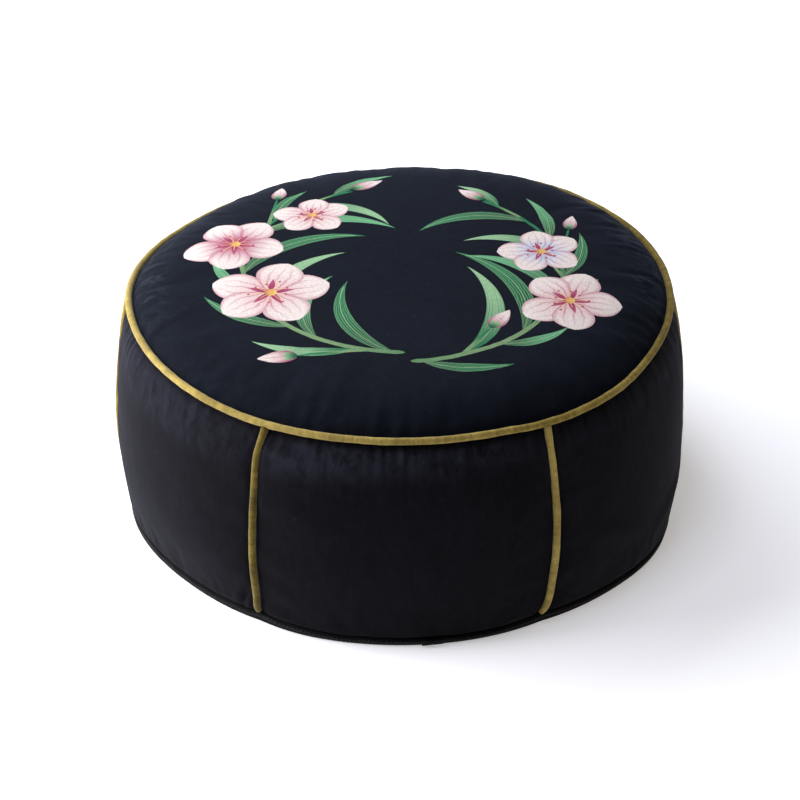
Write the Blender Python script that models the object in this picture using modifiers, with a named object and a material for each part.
"""A round floor cushion: a filled pad in a piped velvet cover that closes with a zip round its foot.

Metres, +Z up, standing on z = 0 with the origin at the middle of its foot. Azimuth 0 is the front, -Y, and
azimuth grows towards +X. The pad's surface comes first: a wall that bulges between six seams and a crown
that rises inside the top seam. Each panel of the cover is a sheet that lies just off that surface, and each
piping lies in the seam between two panels.
"""

import math

import bmesh
import bpy
from mathutils import Vector

# The whole cushion
PANEL_COUNT = 6
FIRST_SEAM = math.radians(30.6)
COLUMNS_PER_PANEL = 12
SURFACE_GAP = 0.0003
CLOTH_THICKNESS = 0.002

# The top seam and the crown inside it
PIPING_RADIUS = 0.0032
RING_RADIUS = 0.2105
RING_HEIGHT = 0.1814
SEAM_SLOPE = math.radians(27.0)
CROWN_RISE = 0.0250
SHOULDER_SHARE = 0.78
SHOULDER_LENGTH = 0.017
RING_DIP = 0.012
DIP_AZIMUTH = math.radians(-162.0)
DIP_LENGTH = 0.050

# The wall
WALL_FOOT_HEIGHT = 0.0084
WALL_FOOT_RADIUS = 0.2128
SEAM_BULGE = 0.0079
PANEL_SWELL = 0.0055
SWELL_POWER = 3.0
SLUMP = 0.0040
SLUMP_AZIMUTH = math.radians(55.0)

# The foot
PAD_FLOOR = CLOTH_THICKNESS + SURFACE_GAP
PAD_FLOOR_RADIUS = 0.2102
BASE_RADIUS = 0.2102
ZIP_LOW_RADIUS = 0.2128
ZIP_LOW_HEIGHT = 0.0006
ZIP_TOP_GAP = 0.0009
ZIP_THICKNESS = 0.0018
ZIP_ROWS = (0.0, 0.24, 0.32, 0.68, 0.76, 1.0)
COIL_EDGES = (0.28, 0.72)
COIL_RISE = 0.0010
SLIDER_AZIMUTH = math.radians(5.4)
SLIDER_LENGTH = 0.0095
SLIDER_WIDTH = 0.0060
SLIDER_THICKNESS = 0.0026
SLIDER_NARROW_END = 0.7
SLIDER_EDGE = 0.0005

# Room beside a piping for the cut edge of each panel
SIDE_SEAM_TRIM = 0.0037
TOP_SEAM_TRIM = 0.0027

# Rows of each surface
WALL_ROWS = 8
CROWN_REACHES = (0.008, 0.018, 0.032, 0.055, 0.090, 0.140)
PIPING_STEPS = 11
SHARP_FOLD = math.radians(50.0)
WELD_DISTANCE = 0.00001

PIPING_SEAT = PIPING_RADIUS + SURFACE_GAP
SEAM_RADIUS = RING_RADIUS - PIPING_SEAT * math.cos(SEAM_SLOPE)
SEAM_HEIGHT = RING_HEIGHT - PIPING_SEAT * math.sin(SEAM_SLOPE)
PANEL_ANGLE = math.tau / PANEL_COUNT
COLUMNS = PANEL_COUNT * COLUMNS_PER_PANEL

# Cloth colours (linear RGB), roughness
BLACK_VELVET = ((0.0065, 0.0065, 0.0080), 0.90)
PRINTED_VELVET = ((0.0090, 0.0110, 0.0170), 0.88)
OLIVE_VELVET = ((0.2600, 0.1900, 0.0450), 0.85)
BLACK_LINEN = ((0.0120, 0.0120, 0.0130), 0.95)
ZIP_NYLON = ((0.0150, 0.0150, 0.0170), 0.55)
FILLING = ((0.6500, 0.6300, 0.5800), 0.95)
SLIDER_ENAMEL = ((0.0200, 0.0200, 0.0220), 0.40)


def between(low, high, share):
    """The value that lies a share of the way from low to high."""
    return low + (high - low) * share


def around(azimuth, radius, height):
    """The point at an azimuth, a radius and a height."""
    return Vector((radius * math.sin(azimuth), -radius * math.cos(azimuth), height))


def swell(azimuth):
    """How far a panel swells out: 0 at its two seams, 1 in its middle."""
    share = ((azimuth - FIRST_SEAM) / PANEL_ANGLE) % 1.0
    from_seam = min(share, 1.0 - share)
    return 1.0 - (1.0 - 2.0 * from_seam) ** SWELL_POWER


def seam_height(azimuth):
    """Height of the top seam, which dips a little at the back."""
    towards_dip = max(0.0, math.cos(azimuth - DIP_AZIMUTH))
    return SEAM_HEIGHT - RING_DIP * towards_dip**2


def floor_profile(azimuth, share):
    """Radius and height on the pad's flat foot, from its middle outwards."""
    return PAD_FLOOR_RADIUS * share, PAD_FLOOR


def wall_profile(azimuth, rise):
    """Radius and height on the pad's wall, from the zip up to the top seam."""
    arch = 4.0 * rise * (1.0 - rise)
    towards_slump = max(0.0, math.cos(azimuth - SLUMP_AZIMUTH))
    bulge = SEAM_BULGE + PANEL_SWELL * swell(azimuth)
    slump = SLUMP * towards_slump * (1.0 - rise)
    radius = between(WALL_FOOT_RADIUS, SEAM_RADIUS, rise) + arch * (bulge + slump)
    return radius, between(WALL_FOOT_HEIGHT, seam_height(azimuth), rise)


def crown_profile(azimuth, reach):
    """Radius and height on the crown, at a reach inwards from the top seam."""
    radius = SEAM_RADIUS - reach
    shoulder = 1.0 - math.exp(-reach / SHOULDER_LENGTH)
    dome = 1.0 - (radius / SEAM_RADIUS) ** 2
    rise = CROWN_RISE * between(dome, shoulder, SHOULDER_SHARE)
    dip = SEAM_HEIGHT - seam_height(azimuth)
    dip *= math.exp(-reach / DIP_LENGTH) * radius / SEAM_RADIUS
    return radius, SEAM_HEIGHT - dip + rise


def zip_profile(azimuth, share):
    """Radius and height on the outer side of the zip, with its coil standing out along the middle."""
    top_radius = WALL_FOOT_RADIUS + PAD_FLOOR
    top_height = WALL_FOOT_HEIGHT - ZIP_TOP_GAP
    coil = COIL_RISE if COIL_EDGES[0] < share < COIL_EDGES[1] else 0.0
    radius = between(ZIP_LOW_RADIUS, top_radius, share) + coil
    return radius, between(ZIP_LOW_HEIGHT, top_height, share)


def lifted(profile, azimuth, place, lift, step=0.0001):
    """The point a little way off a surface, square to its profile."""
    radius, height = profile(azimuth, place)
    radius_before, height_before = profile(azimuth, place - step)
    radius_after, height_after = profile(azimuth, place + step)
    square = Vector((height_after - height_before, radius_before - radius_after)).normalized()
    return around(azimuth, radius + square.x * lift, height + square.y * lift)


def cloth_material(name, finish):
    """A plain material of one colour and roughness."""
    colour, roughness = finish
    material = bpy.data.materials.new(name)
    material.use_nodes = True
    shader = material.node_tree.nodes["Principled BSDF"]
    shader.inputs["Base Color"].default_value = (*colour, 1.0)
    shader.inputs["Roughness"].default_value = roughness
    shader.inputs["Metallic"].default_value = 0.0
    return material


def add_piece(name, data, collection, finish):
    """Puts a finished mesh or curve in the cushion's collection under its own name and material."""
    piece = bpy.data.objects.new(name, data)
    collection.objects.link(piece)
    data.materials.append(cloth_material(name, finish))
    return piece


def grid_mesh(name, azimuths, rows):
    """A grid laid over a surface: one column for each azimuth, and one row for each function of it."""
    mesh = bpy.data.meshes.new(name)
    shape = bmesh.new()
    columns, last_row = len(azimuths) - 1, len(rows) - 1
    bmesh.ops.create_grid(shape, x_segments=columns, y_segments=last_row, size=1.0)
    for vertex in shape.verts:
        column = round((vertex.co.x + 1.0) / 2.0 * columns)
        row = round((vertex.co.y + 1.0) / 2.0 * last_row)
        vertex.co = rows[row](azimuths[column])
    bmesh.ops.remove_doubles(shape, verts=shape.verts, dist=WELD_DISTANCE)
    shape.to_mesh(mesh)
    shape.free()
    mesh.shade_smooth()
    mesh.set_sharp_from_angle(angle=SHARP_FOLD)
    return mesh


def row_of(profile, place, lift=0.0):
    """The function that gives one row of a grid at any azimuth."""
    return lambda azimuth: lifted(profile, azimuth, place, lift)


def thicken(piece, thickness, outwards=True):
    """Gives a sheet its thickness on one side."""
    solidify = piece.modifiers.new("thickness", "SOLIDIFY")
    solidify.thickness = thickness
    solidify.offset = 1.0 if outwards else -1.0
    solidify.use_even_offset = True


def all_round():
    """The azimuths of a whole turn, with a column on every seam."""
    return [FIRST_SEAM + math.tau * column / COLUMNS for column in range(COLUMNS + 1)]


def wall_rises(top_trim=0.0):
    """The rows up the wall, the last one cut back from the top seam."""
    rises = [row / WALL_ROWS for row in range(WALL_ROWS)]
    return rises + [1.0 - top_trim / (SEAM_HEIGHT - WALL_FOOT_HEIGHT)]


def filled_pad(collection):
    """The filling's own body, from its flat foot up the wall and over the crown."""
    rows = [row_of(floor_profile, 0.0), row_of(floor_profile, 1.0)]
    rows += [row_of(wall_profile, rise) for rise in wall_rises()]
    rows += [row_of(crown_profile, reach) for reach in (*CROWN_REACHES, SEAM_RADIUS)]
    return add_piece("filled_pad", grid_mesh("filled_pad", all_round(), rows), collection, FILLING)


def top_panel(collection):
    """The round of printed velvet that lies over the crown, inside the top piping."""
    reaches = (TOP_SEAM_TRIM, *CROWN_REACHES, SEAM_RADIUS)
    rows = [row_of(crown_profile, reach, SURFACE_GAP) for reach in reaches]
    piece = add_piece("top_panel", grid_mesh("top_panel", all_round(), rows), collection, PRINTED_VELVET)
    thicken(piece, CLOTH_THICKNESS)
    return piece


def side_panel(index, collection):
    """One curved panel of the wall, cut back from the pipings on both sides and above."""
    name = f"side_panel_{index + 1}"
    trim = SIDE_SEAM_TRIM / (WALL_FOOT_RADIUS + SEAM_BULGE)
    start = FIRST_SEAM + PANEL_ANGLE * index
    inner = [PANEL_ANGLE * column / COLUMNS_PER_PANEL for column in range(1, COLUMNS_PER_PANEL)]
    azimuths = [start + angle for angle in (trim, *inner, PANEL_ANGLE - trim)]
    rows = [row_of(wall_profile, rise, SURFACE_GAP) for rise in wall_rises(TOP_SEAM_TRIM)]
    piece = add_piece(name, grid_mesh(name, azimuths, rows), collection, BLACK_VELVET)
    thicken(piece, CLOTH_THICKNESS)
    return piece


def base_panel(collection):
    """The flat round that the cushion rests on."""
    mesh = bpy.data.meshes.new("base_panel")
    shape = bmesh.new()
    bmesh.ops.create_cone(
        shape,
        cap_ends=True,
        segments=COLUMNS,
        radius1=BASE_RADIUS,
        radius2=BASE_RADIUS,
        depth=CLOTH_THICKNESS,
    )
    shape.to_mesh(mesh)
    shape.free()
    piece = add_piece("base_panel", mesh, collection, BLACK_LINEN)
    piece.location.z = CLOTH_THICKNESS / 2.0
    return piece


def piping_curve(name, points, closed):
    """A round covered cord along a line of points."""
    curve = bpy.data.curves.new(name, "CURVE")
    curve.dimensions = "3D"
    curve.bevel_depth = PIPING_RADIUS
    curve.bevel_resolution = 2
    curve.use_fill_caps = True
    spline = curve.splines.new("POLY")
    spline.points.add(len(points) - 1)
    for place, point in zip(spline.points, points):
        place.co = (*point, 1.0)
    spline.use_cyclic_u = closed
    spline.use_smooth = True
    return curve


def top_piping(collection):
    """The piping that stands out of the top seam all the way round."""
    points = []
    for azimuth in all_round()[:-1]:
        height = seam_height(azimuth) + RING_HEIGHT - SEAM_HEIGHT
        points.append(around(azimuth, RING_RADIUS, height))
    return add_piece("top_piping", piping_curve("top_piping", points, True), collection, OLIVE_VELVET)


def side_piping(index, collection):
    """The piping down one side seam, from under the top piping to the zip."""
    name = f"side_piping_{index + 1}"
    azimuth = FIRST_SEAM + PANEL_ANGLE * index
    wall = SEAM_HEIGHT - WALL_FOOT_HEIGHT
    low = 2.0 * SURFACE_GAP / wall
    high = 1.0 - TOP_SEAM_TRIM / wall
    points = []
    for step in range(PIPING_STEPS + 1):
        rise = between(low, high, step / PIPING_STEPS)
        points.append(lifted(wall_profile, azimuth, rise, PIPING_SEAT))
    return add_piece(name, piping_curve(name, points, False), collection, OLIVE_VELVET)


def zip_band(collection):
    """The closed zip round the foot: its tape, with the coil standing out along the middle."""
    rows = [row_of(zip_profile, share) for share in ZIP_ROWS]
    piece = add_piece("zip", grid_mesh("zip", all_round(), rows), collection, ZIP_NYLON)
    thicken(piece, ZIP_THICKNESS, outwards=False)
    return piece


def zip_slider(collection):
    """The slider, parked where the two ends of the zip meet at the front."""
    mesh = bpy.data.meshes.new("zip_slider")
    shape = bmesh.new()
    bmesh.ops.create_cube(shape, size=1.0)
    size = Vector((SLIDER_LENGTH, SLIDER_THICKNESS, SLIDER_WIDTH))
    bmesh.ops.scale(shape, vec=size, verts=shape.verts)
    front_end = [vertex for vertex in shape.verts if vertex.co.x > 0.0]
    bmesh.ops.scale(shape, vec=(1.0, 1.0, SLIDER_NARROW_END), verts=front_end)
    shape.to_mesh(mesh)
    shape.free()
    piece = add_piece("zip_slider", mesh, collection, SLIDER_ENAMEL)
    radius, height = zip_profile(SLIDER_AZIMUTH, 0.5)
    low_radius, low_height = zip_profile(SLIDER_AZIMUTH, 0.0)
    lean = math.atan2(radius - COIL_RISE - low_radius, height - low_height)
    stand_off = SURFACE_GAP * 2.0 + SLIDER_THICKNESS / 2.0
    piece.location = around(SLIDER_AZIMUTH, radius + stand_off, height)
    piece.rotation_euler = (lean, 0.0, SLIDER_AZIMUTH)
    bevel = piece.modifiers.new("worn edges", "BEVEL")
    bevel.width = SLIDER_EDGE
    bevel.segments = 2
    return piece


def main():
    for leftover in list(bpy.data.objects):
        bpy.data.objects.remove(leftover, do_unlink=True)
    collection = bpy.data.collections.new("zafu_cushion")
    bpy.context.scene.collection.children.link(collection)
    filled_pad(collection)
    top_panel(collection)
    base_panel(collection)
    top_piping(collection)
    zip_band(collection)
    zip_slider(collection)
    for index in range(PANEL_COUNT):
        side_panel(index, collection)
        side_piping(index, collection)


main()
